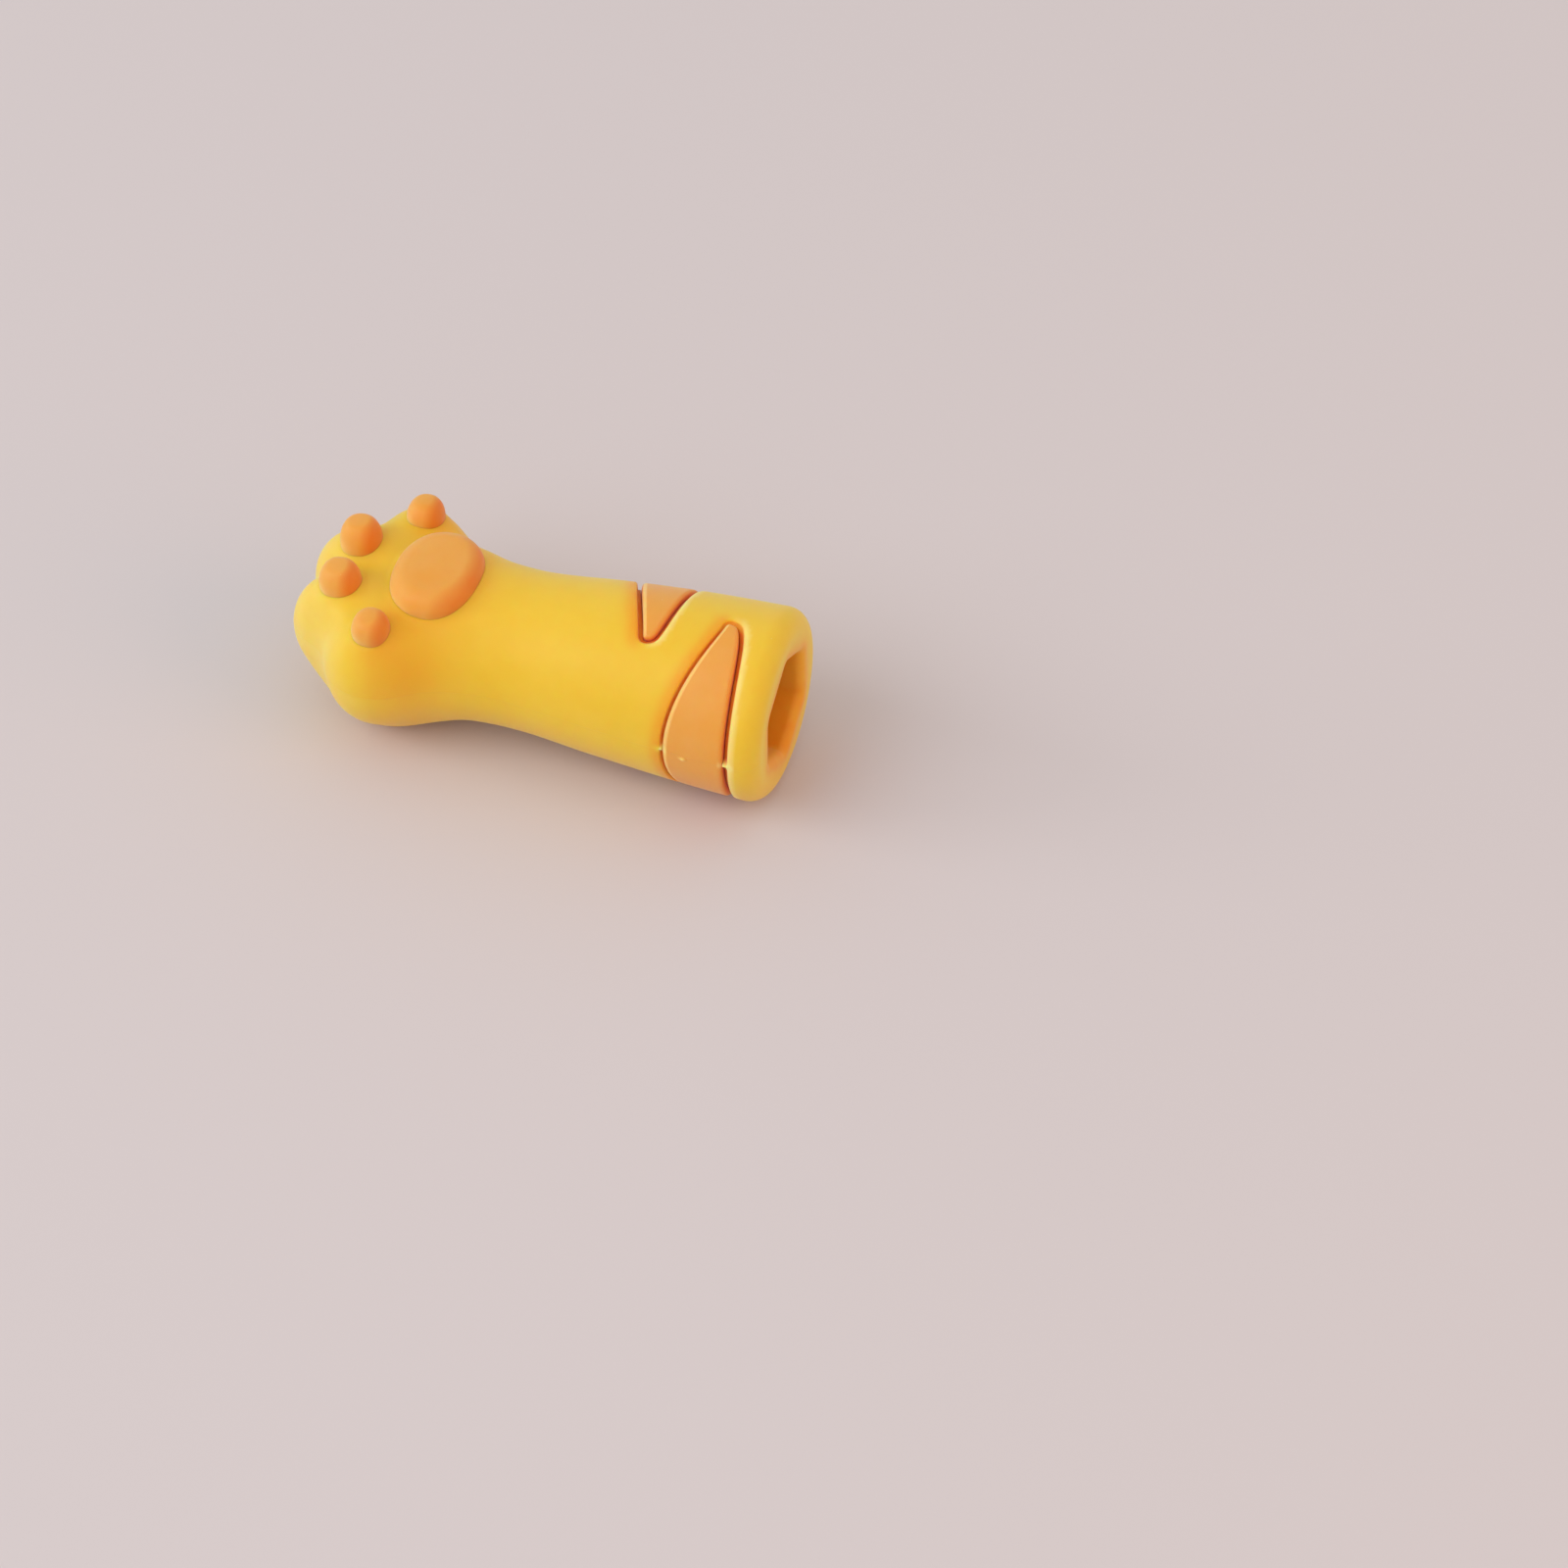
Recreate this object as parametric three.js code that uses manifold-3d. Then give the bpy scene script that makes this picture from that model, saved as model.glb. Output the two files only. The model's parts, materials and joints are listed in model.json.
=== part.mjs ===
// A soft silicone sleeve in the shape of a cat's foreleg and paw, lying palm up, with a six-sided socket in
// its open end. Tan pads stand in pockets on the palm and toes, and two tan stripes lie flush in the sleeve
// with a groove all round them. X runs along the socket towards its open end, Y across and Z up out of the
// palm. Sizes are in mm.
import * as THREE from "three";
import Module from "manifold-3d";

const wasm = await Module();
wasm.setup();

// Sleeve: round in section. Stations are measured from the open end towards the toes.
const mouthRadius = 7.05;
const mouthRimRound = 1.5;
const collarStation = 7;
const collarRadius = 6.71;
const forearmStation = 13;
const forearmRadius = 6.22;
const waistStation = 19;
const waistRadius = 5.64;
const waistDrop = 0.26;
const wristFromWaist = 4.5;
const wristRadius = 5.81;

// Paw: every station here is measured from the waist, and heights from the socket's axis.
const palmFromWaist = 7.4;
const palmHeight = -0.2;
const palmHalfLength = 5.05;
const palmHalfWidth = 6.3;
const palmHalfDepth = 5.05;
const palmSquareness = 2.3;
const palmFlatHeight = 4.9;
const flatFromWaist = 8;
const wristRiseLength = 5.4;
const wristRise = 1.1;
const toeHeight = 0.2;
const outerToeFromWaist = 9.75;
const outerToeAcross = 5.6;
const outerToeHalfLength = 3.35;
const outerToeHalfWidth = 2.95;
const outerToeHalfDepth = 4.5;
const innerToeFromWaist = 12.1;
const innerToeAcross = 2.57;
const innerToeHalfLength = 4.45;
const innerToeHalfWidth = 2.5;
const innerToeHalfDepth = 5;
const knuckleFromWaist = 9.3;
const knuckleAcross = 2.6;
const knuckleHalfLength = 4.2;
const knuckleHalfWidth = 3.2;
const knuckleHalfDepth = 3.8;
const pawBlend = 1.8;
const toeBlend = 1.8;
const palmEdgeBlend = 1.4;
const valleyRound = 1;

// Socket: a blind hexagon with corners up and down.
const socketAcrossFlats = 7.2;
const socketDepth = 22;
const socketCornerRound = 0.8;
const socketLipRound = 0.7;

// Pads: an oval with a rounded rim and a nearly flat top, standing in a shallow pocket.
const palmPadFromWaist = 6.75;
const palmPadLength = 6.4;
const palmPadWidth = 7.9;
const palmPadHeight = 1.4;
const palmPadRim = 1.4;
const palmPadSeat = 0.6;
const palmPadPitch = 6;
const outerPadFromWaist = 9.65;
const outerPadAcross = 5.95;
const outerPadLength = 2.65;
const outerPadWidth = 2.85;
const outerPadHeight = 1.4;
const outerPadLean = 8.5;
const outerPadPitch = 5;
const innerPadFromWaist = 13.15;
const innerPadAcross = 2.25;
const innerPadLength = 2.95;
const innerPadWidth = 3;
const innerPadHeight = 1.65;
const innerPadLean = 5;
const innerPadPitch = 8;
const toePadRim = 0.95;
const toePadSeat = 0.8;
const padCrown = 0.1;
const padSquareness = 2.2;
const padClearance = 0.1;

// Stripes: leaves wrapped round the sleeve. Angles are in degrees from the palm, positive on the far side.
const stripeDepth = 0.9;
const stripeGroove = 0.35;
const stripeFloorClearance = 0.1;
const stripeTipWidth = 0.5;
const nearStripe = {
  middle: -90,
  halfSpan: 91.6,
  mouthSide: 2.5,
  tip: 4.2,
  toeSide: 6.95,
  mouthBend: 2.7,
  toeBend: 1.5,
};
const farStripe = {
  middle: 90,
  halfSpan: 111,
  mouthSide: 8.15,
  tip: 9.6,
  toeSide: 12.6,
  mouthBend: 2,
  toeBend: 1.22,
};

// How finely each form is cut into facets
const sidesAround = 56;
const roundSteps = 5;
const sleeveRings = 19;
const toeRings = 15;
const cornerSteps = 4;
const padSides = 24;
const palmPadSides = 32;
const stripeSections = 28;
const stripeSteps = 3;

const palm = {
  station: waistStation + palmFromWaist,
  across: 0,
  height: palmHeight,
  half: [palmHalfLength, palmHalfWidth, palmHalfDepth],
  squareness: palmSquareness,
};
const outerToe = {
  station: waistStation + outerToeFromWaist,
  across: outerToeAcross,
  height: toeHeight,
  half: [outerToeHalfLength, outerToeHalfWidth, outerToeHalfDepth],
  squareness: 2,
};
const innerToe = {
  station: waistStation + innerToeFromWaist,
  across: innerToeAcross,
  height: toeHeight,
  half: [innerToeHalfLength, innerToeHalfWidth, innerToeHalfDepth],
  squareness: 2,
};
// The knuckles on the back of the paw reach as low as the mouth's rim, so the part lies level.
const knuckle = {
  station: waistStation + knuckleFromWaist,
  across: knuckleAcross,
  height: knuckleHalfDepth - mouthRadius,
  half: [knuckleHalfLength, knuckleHalfWidth, knuckleHalfDepth],
  squareness: 2,
};

const sleeveEnd = waistStation + wristFromWaist;
const sleeveProfile = new THREE.CubicInterpolant(
  [0, collarStation, forearmStation, waistStation, sleeveEnd],
  [mouthRadius, collarRadius, forearmRadius, waistRadius, wristRadius],
  1,
);

function smoothUnion(a, b, blend) {
  const share = THREE.MathUtils.clamp(0.5 + (0.5 * (b - a)) / blend, 0, 1);
  return b + (a - b) * share - blend * share * (1 - share);
}

// Roughly the distance to a lump's skin, less than 0 inside it
function lumpDistance(lump, station, across, height) {
  const offsets = [station - lump.station, across - lump.across, height - lump.height];
  const sum = offsets.reduce((total, v, i) => total + Math.abs(v / lump.half[i]) ** lump.squareness, 0);
  return (sum ** (1 / lump.squareness) - 1) * Math.min(...lump.half);
}

function sleeveDistance(station, across, height) {
  const drop = waistDrop * THREE.MathUtils.clamp(station / waistStation, 0, 1) ** 2;
  const past = Math.max(station - sleeveEnd, 0);
  return Math.hypot(across, height + drop, past) - sleeveProfile.evaluate(station)[0];
}

// The palm is pressed flat as far back as flatFromWaist, and rises from there to the round wrist.
function palmLimit(station) {
  const back = Math.max(waistStation + flatFromWaist - station, 0) / wristRiseLength;
  return palmFlatHeight + wristRise * back ** 2;
}

// The whole leg and paw: sleeve, palm, knuckles and toes melted together. Lumps come in pairs mirrored
// across the middle, where rounding the mirrored distance leaves a soft valley between the two.
function pawDistance(point) {
  const [station, across, height] = [-point.x, Math.hypot(point.y, valleyRound), point.z];
  let distance = sleeveDistance(station, point.y, height);
  distance = smoothUnion(distance, lumpDistance(palm, station, across, height), pawBlend);
  distance = smoothUnion(distance, lumpDistance(knuckle, station, across, height), pawBlend);
  const toes = smoothUnion(
    lumpDistance(outerToe, station, across, height),
    lumpDistance(innerToe, station, across, height),
    toeBlend,
  );
  distance = smoothUnion(distance, toes, toeBlend);
  return -smoothUnion(-distance, palmLimit(station) - height, palmEdgeBlend);
}

// Walks in from outside along a line until it meets the skin, and gives the distance from the line's start.
function skinAlong(start, direction) {
  const point = new THREE.Vector3();
  const isOutside = (reach) => pawDistance(point.copy(start).addScaledVector(direction, reach)) > 0;
  let outside = 3 * mouthRadius;
  let inside = outside;
  while (inside > 0 && isOutside(inside)) {
    outside = inside;
    inside -= 0.25;
  }
  for (let i = 0; i < 24; i++) {
    const middle = (outside + inside) / 2;
    if (isOutside(middle)) outside = middle;
    else inside = middle;
  }
  return inside;
}

// A direction square to the socket's axis, by its angle from the palm
const spoke = (angle) => new THREE.Vector3(0, Math.sin(angle), Math.cos(angle));

function skinRadius(station, angle) {
  return skinAlong(new THREE.Vector3(-station, 0, 0), spoke(angle));
}

// A quarter round between a flat face and a wall: how far in from the face, and how far back from the wall
function quarterRound(radius) {
  return Array.from({ length: roundSteps + 1 }, (_, i) => {
    const turn = (i / roundSteps) * (Math.PI / 2);
    return { depth: radius * (1 - Math.cos(turn)), inset: radius * (1 - Math.sin(turn)) };
  });
}

// Closed sections of equal point counts, skinned one to the next and closed by a fan at each end
function skinned(sections, firstPole, lastPole) {
  const count = sections[0].length;
  const points = [firstPole, ...sections.flat(), lastPole];
  const last = points.length - 1;
  const index = [];
  for (let i = 0; i < count; i++) {
    const next = (i + 1) % count;
    index.push(0, 1 + next, 1 + i);
    for (let k = 0; k < sections.length - 1; k++) {
      const [a, b] = [1 + k * count, 1 + (k + 1) * count];
      index.push(a + i, a + next, b + i, a + next, b + next, b + i);
    }
    index.push(last, last - count + i, last - count + next);
  }
  return new THREE.BufferGeometry().setFromPoints(points).setIndex(index);
}

function middleOf(section) {
  return section.reduce((sum, p) => sum.add(p), new THREE.Vector3()).divideScalar(section.length);
}

function solidOf(geometry) {
  const make = (triVerts) => {
    const vertProperties = new Float32Array(geometry.attributes.position.array);
    return new wasm.Manifold(new wasm.Mesh({ numProp: 3, vertProperties, triVerts }));
  };
  const solid = make(new Uint32Array(geometry.index.array));
  if (solid.volume() > 0) return solid;
  return make(new Uint32Array(geometry.index.array).reverse());
}

function geometryOf(solid) {
  const { numProp, vertProperties, triVerts } = solid.getMesh();
  const geometry = new THREE.BufferGeometry();
  geometry.setAttribute("position", new THREE.BufferAttribute(new Float32Array(vertProperties), numProp));
  geometry.setIndex(new THREE.BufferAttribute(new Uint32Array(triVerts), 1));
  geometry.computeVertexNormals();
  return geometry;
}

// Skin of the leg: rings square to the axis along the sleeve, then rings that lean over to close on the toes
function bodySolid() {
  const angles = Array.from({ length: sidesAround }, (_, i) => (i / sidesAround) * 2 * Math.PI);
  const ring = (station, inset) =>
    angles.map((angle) => {
      const out = spoke(angle).multiplyScalar(skinRadius(station, angle) - inset);
      return out.setX(-station);
    });
  const rings = quarterRound(mouthRimRound).map(({ depth, inset }) => ring(depth, inset));
  const crown = new THREE.Vector3(-palm.station, 0, 0);
  for (let i = 1; i <= sleeveRings; i++) {
    rings.push(ring(THREE.MathUtils.lerp(mouthRimRound, palm.station, i / sleeveRings), 0));
  }
  const toeward = new THREE.Vector3(-1, 0, 0);
  for (let i = 1; i < toeRings; i++) {
    const lean = (i / toeRings) * (Math.PI / 2);
    rings.push(
      angles.map((angle) => {
        const way = spoke(angle).multiplyScalar(Math.cos(lean)).addScaledVector(toeward, Math.sin(lean));
        return crown.clone().addScaledVector(way, skinAlong(crown, way));
      }),
    );
  }
  const tip = crown.clone().addScaledVector(toeward, skinAlong(crown, toeward));
  return solidOf(skinned(rings, new THREE.Vector3(), tip));
}

// Six flats with rounded corners, grown outwards by swell
function hexagon(station, swell) {
  const cornerRadius = socketCornerRound + swell;
  const cornerCentre = (socketAcrossFlats / 2 - socketCornerRound) / Math.cos(Math.PI / 6);
  const points = [];
  for (let corner = 0; corner < 6; corner++) {
    const middle = (corner * Math.PI) / 3;
    for (let i = 0; i <= cornerSteps; i++) {
      const turn = middle + (i / cornerSteps - 0.5) * (Math.PI / 3);
      const point = spoke(middle).multiplyScalar(cornerCentre).addScaledVector(spoke(turn), cornerRadius);
      points.push(point.setX(-station));
    }
  }
  return points;
}

function socketSolid() {
  const sections = [hexagon(-socketLipRound, socketLipRound)];
  sections.push(...quarterRound(socketLipRound).map(({ depth, inset }) => hexagon(depth, inset)));
  sections.push(hexagon(socketDepth, 0));
  return solidOf(skinned(sections, middleOf(sections[0]), middleOf(sections.at(-1))));
}

// How much of a leaf's width is left this near its tip: all of it, until the last stretch rounds it off.
function tipRounding(fromTip, stretch) {
  const into = THREE.MathUtils.clamp(1 - fromTip / stretch, 0, 0.98);
  return Math.sqrt(1 - into ** 2);
}

// A leaf wrapped round the sleeve. grow widens it on every side; it reaches from above the skin down to
// below it.
function stripeSolid(stripe, grow, above, below) {
  const tipHalf = stripeTipWidth / 2 + grow;
  const span = THREE.MathUtils.degToRad(stripe.halfSpan) + grow / mouthRadius;
  const [mouthSide, toeSide] = [stripe.mouthSide - grow, stripe.toeSide + grow];
  const sections = [];
  for (let i = 0; i <= stripeSections; i++) {
    const along = Math.sin((i / stripeSections - 0.5) * Math.PI);
    const reach = Math.abs(along);
    const angle = THREE.MathUtils.degToRad(stripe.middle) + along * span;
    const towardsMouth = 1 - Math.sqrt(1 - Math.min(reach, 1) ** stripe.mouthBend);
    const towardsToes = 1 - Math.max(1 - reach ** 2, 0) ** stripe.toeBend;
    const rounding = tipRounding(1 - reach, tipHalf / (span * mouthRadius));
    const mouthward = THREE.MathUtils.lerp(stripe.tip - mouthSide, tipHalf, towardsMouth) * rounding;
    const toeward = THREE.MathUtils.lerp(toeSide - stripe.tip, tipHalf, towardsToes) * rounding;
    const stations = Array.from({ length: stripeSteps + 1 }, (_, k) =>
      THREE.MathUtils.lerp(stripe.tip - mouthward, stripe.tip + toeward, k / stripeSteps),
    );
    const at = (station, lift) =>
      spoke(angle).multiplyScalar(skinRadius(station, angle) + lift).setX(-station);
    const outer = stations.map((station) => at(station, above));
    const inner = stations.map((station) => at(station, -below)).reverse();
    sections.push([...outer, ...inner]);
  }
  return solidOf(skinned(sections, middleOf(sections[0]), middleOf(sections.at(-1))));
}

function oval(length, width, height, inset, sides) {
  return Array.from({ length: sides }, (_, i) => {
    const turn = (i / sides) * 2 * Math.PI;
    const [c, s] = [Math.cos(turn), Math.sin(turn)];
    const size = (Math.abs(c) ** padSquareness + Math.abs(s) ** padSquareness) ** (-1 / padSquareness);
    const [x, y] = [(length / 2 - inset) * c, (width / 2 - inset) * s];
    return new THREE.Vector3(x * size, y * size, height);
  });
}

// A pad in its own frame: its skin line at height 0, its seat below, its rounded rim and gently crowned top
// above
function padSolid(pad) {
  const sections = [oval(pad.length, pad.width, -pad.seat, 0, pad.sides)];
  for (const { depth, inset } of quarterRound(1)) {
    sections.push(oval(pad.length, pad.width, pad.height * (1 - inset), pad.rim * depth, pad.sides));
  }
  const top = new THREE.Vector3(0, 0, pad.height + padCrown);
  return solidOf(skinned(sections, middleOf(sections[0]), top));
}

function pocketSolid(pad, matrix) {
  const grown = (height) =>
    oval(pad.length + 2 * padClearance, pad.width + 2 * padClearance, height, 0, pad.sides);
  const sections = [grown(-pad.seat - padClearance), grown(pad.height + mouthRadius)];
  const geometry = skinned(sections, middleOf(sections[0]), middleOf(sections[1]));
  return solidOf(geometry.applyMatrix4(matrix));
}

const yellowSilicone = new THREE.MeshStandardMaterial({ color: 0xf0ca4a, roughness: 0.6, metalness: 0 });
const tanSilicone = new THREE.MeshStandardMaterial({ color: 0xf0af59, roughness: 0.6, metalness: 0 });

function named(name, solid, material) {
  const mesh = new THREE.Mesh(geometryOf(solid), material);
  mesh.name = name;
  return mesh;
}

const palmPad = {
  name: "palm_pad",
  station: waistStation + palmPadFromWaist,
  across: 0,
  length: palmPadLength,
  width: palmPadWidth,
  height: palmPadHeight,
  rim: palmPadRim,
  seat: palmPadSeat,
  lean: 0,
  pitch: -palmPadPitch,
  sides: palmPadSides,
};

function toePad(side, place) {
  const outer = place === "outer";
  return {
    name: `${side < 0 ? "near" : "far"}_${place}_toe_pad`,
    station: waistStation + (outer ? outerPadFromWaist : innerPadFromWaist),
    across: side * (outer ? outerPadAcross : innerPadAcross),
    length: outer ? outerPadLength : innerPadLength,
    width: outer ? outerPadWidth : innerPadWidth,
    height: outer ? outerPadHeight : innerPadHeight,
    rim: toePadRim,
    seat: toePadSeat,
    lean: -side * (outer ? outerPadLean : innerPadLean),
    pitch: -(outer ? outerPadPitch : innerPadPitch),
    sides: padSides,
  };
}

const pads = [palmPad, toePad(-1, "outer"), toePad(-1, "inner"), toePad(1, "inner"), toePad(1, "outer")];

// Turns a pad to face out of its toe and stands it on the skin.
function placedPad(pad) {
  const mesh = named(pad.name, padSolid(pad), tanSilicone);
  const { degToRad } = THREE.MathUtils;
  mesh.rotation.set(degToRad(pad.lean), degToRad(pad.pitch), 0);
  const under = new THREE.Vector3(-pad.station, pad.across, 0);
  mesh.position.copy(under).setZ(skinAlong(under, new THREE.Vector3(0, 0, 1)));
  mesh.updateMatrix();
  return mesh;
}

const paw = new THREE.Group();
let body = bodySolid().subtract(socketSolid());
for (const pad of pads) {
  const mesh = placedPad(pad);
  body = body.subtract(pocketSolid(pad, mesh.matrix));
  paw.add(mesh);
}
for (const [name, stripe] of Object.entries({ near_stripe: nearStripe, far_stripe: farStripe })) {
  body = body.subtract(stripeSolid(stripe, stripeGroove, mouthRimRound, stripeDepth + stripeFloorClearance));
  paw.add(named(name, stripeSolid(stripe, 0, 0, stripeDepth), tanSilicone));
}
paw.add(named("paw_body", body, yellowSilicone));

// The origin is under the middle of the part, on the surface that it lies on.
const bounds = new THREE.Box3().setFromObject(paw, true);
const centre = bounds.getCenter(new THREE.Vector3());
paw.position.set(-centre.x, -centre.y, -bounds.min.z);

const part = new THREE.Group();
part.add(paw);
export default part;
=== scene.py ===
import json
import math

import bmesh
import bpy
import numpy as np
from mathutils import Matrix, Vector, kdtree
from mathutils.geometry import delaunay_2d_cdt


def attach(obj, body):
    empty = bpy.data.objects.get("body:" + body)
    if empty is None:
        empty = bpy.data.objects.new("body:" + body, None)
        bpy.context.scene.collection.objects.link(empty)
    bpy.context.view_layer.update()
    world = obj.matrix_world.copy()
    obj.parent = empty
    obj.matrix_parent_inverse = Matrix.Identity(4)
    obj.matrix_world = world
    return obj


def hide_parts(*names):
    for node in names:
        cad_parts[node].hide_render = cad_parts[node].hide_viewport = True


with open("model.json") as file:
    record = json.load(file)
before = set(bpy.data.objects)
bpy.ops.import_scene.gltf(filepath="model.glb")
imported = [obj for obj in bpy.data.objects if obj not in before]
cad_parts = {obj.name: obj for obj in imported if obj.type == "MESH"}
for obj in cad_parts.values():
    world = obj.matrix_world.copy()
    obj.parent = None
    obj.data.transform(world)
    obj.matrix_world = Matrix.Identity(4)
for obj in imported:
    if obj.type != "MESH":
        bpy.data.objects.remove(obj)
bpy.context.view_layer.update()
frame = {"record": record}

mm = 0.001
weldDistance = mm / 1000

# The forms below are worked out in mm as (station, across, height): stations run from the open end
# towards the toes, heights from the socket's axis. The frame says where the open end and axis are.
mounts = {mount["name"]: Vector(mount["pos_m"]) / mm for mount in frame["record"]["mounts"]}
openEnd = mounts["mouth_face"].x
axisHeight = mounts["socket_floor"].z
socketDepth = openEnd - mounts["socket_floor"].x
# The solids' flat facets reach a hair less far out than the smooth skin
facetShare = 0.997


def placed(points):
    station, across, height = np.asarray(points, float).T * facetShare
    return np.stack([openEnd - station, across, axisHeight + height], 1) * mm


# Leg and paw: the sleeve's radii by station, and the lumps melted onto it (places, half sizes)
leg = {
    "stations": (0, 7, 13, 19, 23.5),
    "radii": (7.05, 6.71, 6.22, 5.64, 5.81),
    "waist": 19,
    "waistDrop": 0.26,
    "palm": {"at": (26.4, 0, -0.2), "half": (5.05, 6.3, 5.05), "squareness": 2.3},
    "outerToe": {"at": (28.75, 5.6, 0.2), "half": (3.35, 2.95, 4.5), "squareness": 2},
    "innerToe": {"at": (31.1, 2.57, 0.2), "half": (4.45, 2.5, 5), "squareness": 2},
    "knuckle": {"at": (28.3, 2.6, -3.25), "half": (4.2, 3.2, 3.8), "squareness": 2},
    "pawBlend": 1.8,
    "toeBlend": 1.8,
    "valleyRound": 1,
    "flatHeight": 4.9,
    "flatFrom": 27,
    "wristRiseLength": 5.4,
    "wristRise": 1.1,
    "flatBlend": 1.4,
    "rimRound": 1.5,
    "rimSteps": 14,
    "faceRings": 8,
    "columns": 288,
    "palmRings": 76,
    "toeRings": 69,
    "farthestSkin": 11,
    "searchStep": 0.5,
    "halvings": 22,
}
# The bore in mm; hollow is the painted shade deep in the bore, reached by hollowFrom mm in from the
# open end
socket = {
    "acrossFlats": 7.2,
    "cornerRound": 0.8,
    "lipRound": 0.7,
    "lipSteps": 8,
    "floorRound": 0.4,
    "floorSteps": 4,
    "floorSwells": (-3, -2, -1),
    "wallRings": 15,
    "hollow": 0.75,
    "hollowFrom": 5,
}

# Where painted shade makes the colour warmer, and painted light and pale flash make it paler: shares
# of the full change, distances in mm, and the slope that a side starts to change at
blushes = {
    "grooveEdge": 0.85,
    "grooveEdgeDepth": 0.2,
    "stripeEdgeShade": 0.25,
    "grooveReach": 0.6,
    "grooveEdgeReach": 0.16,
    "lip": 0.8,
    "pad": 0.36,
    "padMouthward": 0.2,
    "padReach": 1,
    "hollow": 0.4,
    "hollowAt": (25.6, 6.4, 0.9),
    "hollowSize": (2.6, 2.8, 4.2),
    "warmest": 0.9,
    "pale": 0.45,
    "paleStations": (28, 33),
    "padMouthSideShade": 0.95,
    "padToeSideLight": 0.25,
    "padSideFrom": 0.1,
    "padSideRamp": 0.6,
    "foot": 0.6,
    "footHeight": 0.55,
    "footFrom": 0.3,
    "flash": 0.9,
    "flashReach": 0.25,
    "below": 0.7,
    "belowFrom": 0.1,
}


def melted(a, b, blend):
    share = np.clip(0.5 + 0.5 * (b - a) / blend, 0, 1)
    return b + (a - b) * share - blend * share * (1 - share)


def lumpDistance(lump, *point):
    places = zip(point, lump["at"], lump["half"])
    parts = [np.abs((p - at) / half) ** lump["squareness"] for p, at, half in places]
    return (sum(parts) ** (1 / lump["squareness"]) - 1) * min(lump["half"])


def sleeveRadius(station):
    # A smooth curve through the radii, each slope the mean of its neighbours'
    stations, radii = np.array(leg["stations"], float), np.array(leg["radii"])
    slopes = np.diff(radii) / np.diff(stations)
    slopes = np.concatenate([slopes[:1], (slopes[1:] + slopes[:-1]) / 2, slopes[-1:]])
    s = np.clip(station, stations[0], stations[-1])
    i = np.clip(np.searchsorted(stations, s) - 1, 0, len(stations) - 2)
    width, rise = stations[i + 1] - stations[i], radii[i + 1] - radii[i]
    a, b, t = slopes[i] * width, slopes[i + 1] * width, (s - stations[i]) / width
    return radii[i] + t * (a + t * (3 * rise - 2 * a - b + t * (a + b - 2 * rise)))


def skinDistance(station, across, height):
    # Less than 0 inside the leg
    drop = leg["waistDrop"] * np.clip(station / leg["waist"], 0, 1) ** 2
    past = np.maximum(station - leg["stations"][-1], 0)
    distance = np.sqrt(across**2 + (height + drop) ** 2 + past**2) - sleeveRadius(station)
    mirrored = np.hypot(across, leg["valleyRound"])

    def toLump(name):
        return lumpDistance(leg[name], station, mirrored, height)

    for name in ("palm", "knuckle"):
        distance = melted(distance, toLump(name), leg["pawBlend"])
    toes = melted(toLump("outerToe"), toLump("innerToe"), leg["toeBlend"])
    distance = melted(distance, toes, leg["toeBlend"])
    back = np.maximum(leg["flatFrom"] - station, 0) / leg["wristRiseLength"]
    palmTop = leg["flatHeight"] + leg["wristRise"] * back**2
    return -melted(-distance, palmTop - height, leg["flatBlend"])


def skinReach(starts, ways):
    # How far out along each line the skin lies: a coarse walk to the last point in, then halving
    starts, ways = np.broadcast_arrays(np.asarray(starts, float), np.asarray(ways, float))
    walk = np.arange(0, leg["farthestSkin"], leg["searchStep"])
    spots = starts[:, None, :] + walk[None, :, None] * ways[:, None, :]
    isInside = skinDistance(*np.moveaxis(spots, 2, 0)) < 0
    inside = walk[len(walk) - 1 - np.argmax(isInside[:, ::-1], axis=1)]
    outside = inside + leg["searchStep"]
    for _ in range(leg["halvings"]):
        middle = (inside + outside) / 2
        isIn = skinDistance(*(starts + middle[:, None] * ways).T) < 0
        inside, outside = np.where(isIn, middle, inside), np.where(isIn, outside, middle)
    return inside


def spokes(angles):
    # Directions square to the axis, by their angle from the palm, positive on the far side
    return np.stack([np.zeros_like(angles), np.sin(angles), np.cos(angles)], 1)


def axisPoints(stations, count):
    return np.stack([np.broadcast_to(stations, count), np.zeros(count), np.zeros(count)], 1)


def onSkin(stations, angles, depth=0.0):
    starts, ways = axisPoints(stations, len(angles)), spokes(angles)
    return starts + ways * (skinReach(starts, ways) - depth)[:, None]


def quarterRound(radius, steps):
    # (distance in from a face, distance back from a wall) round an edge
    turns = np.linspace(0, math.pi / 2, steps + 1)
    return list(zip(radius * (1 - np.cos(turns)), radius * (1 - np.sin(turns))))


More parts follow.
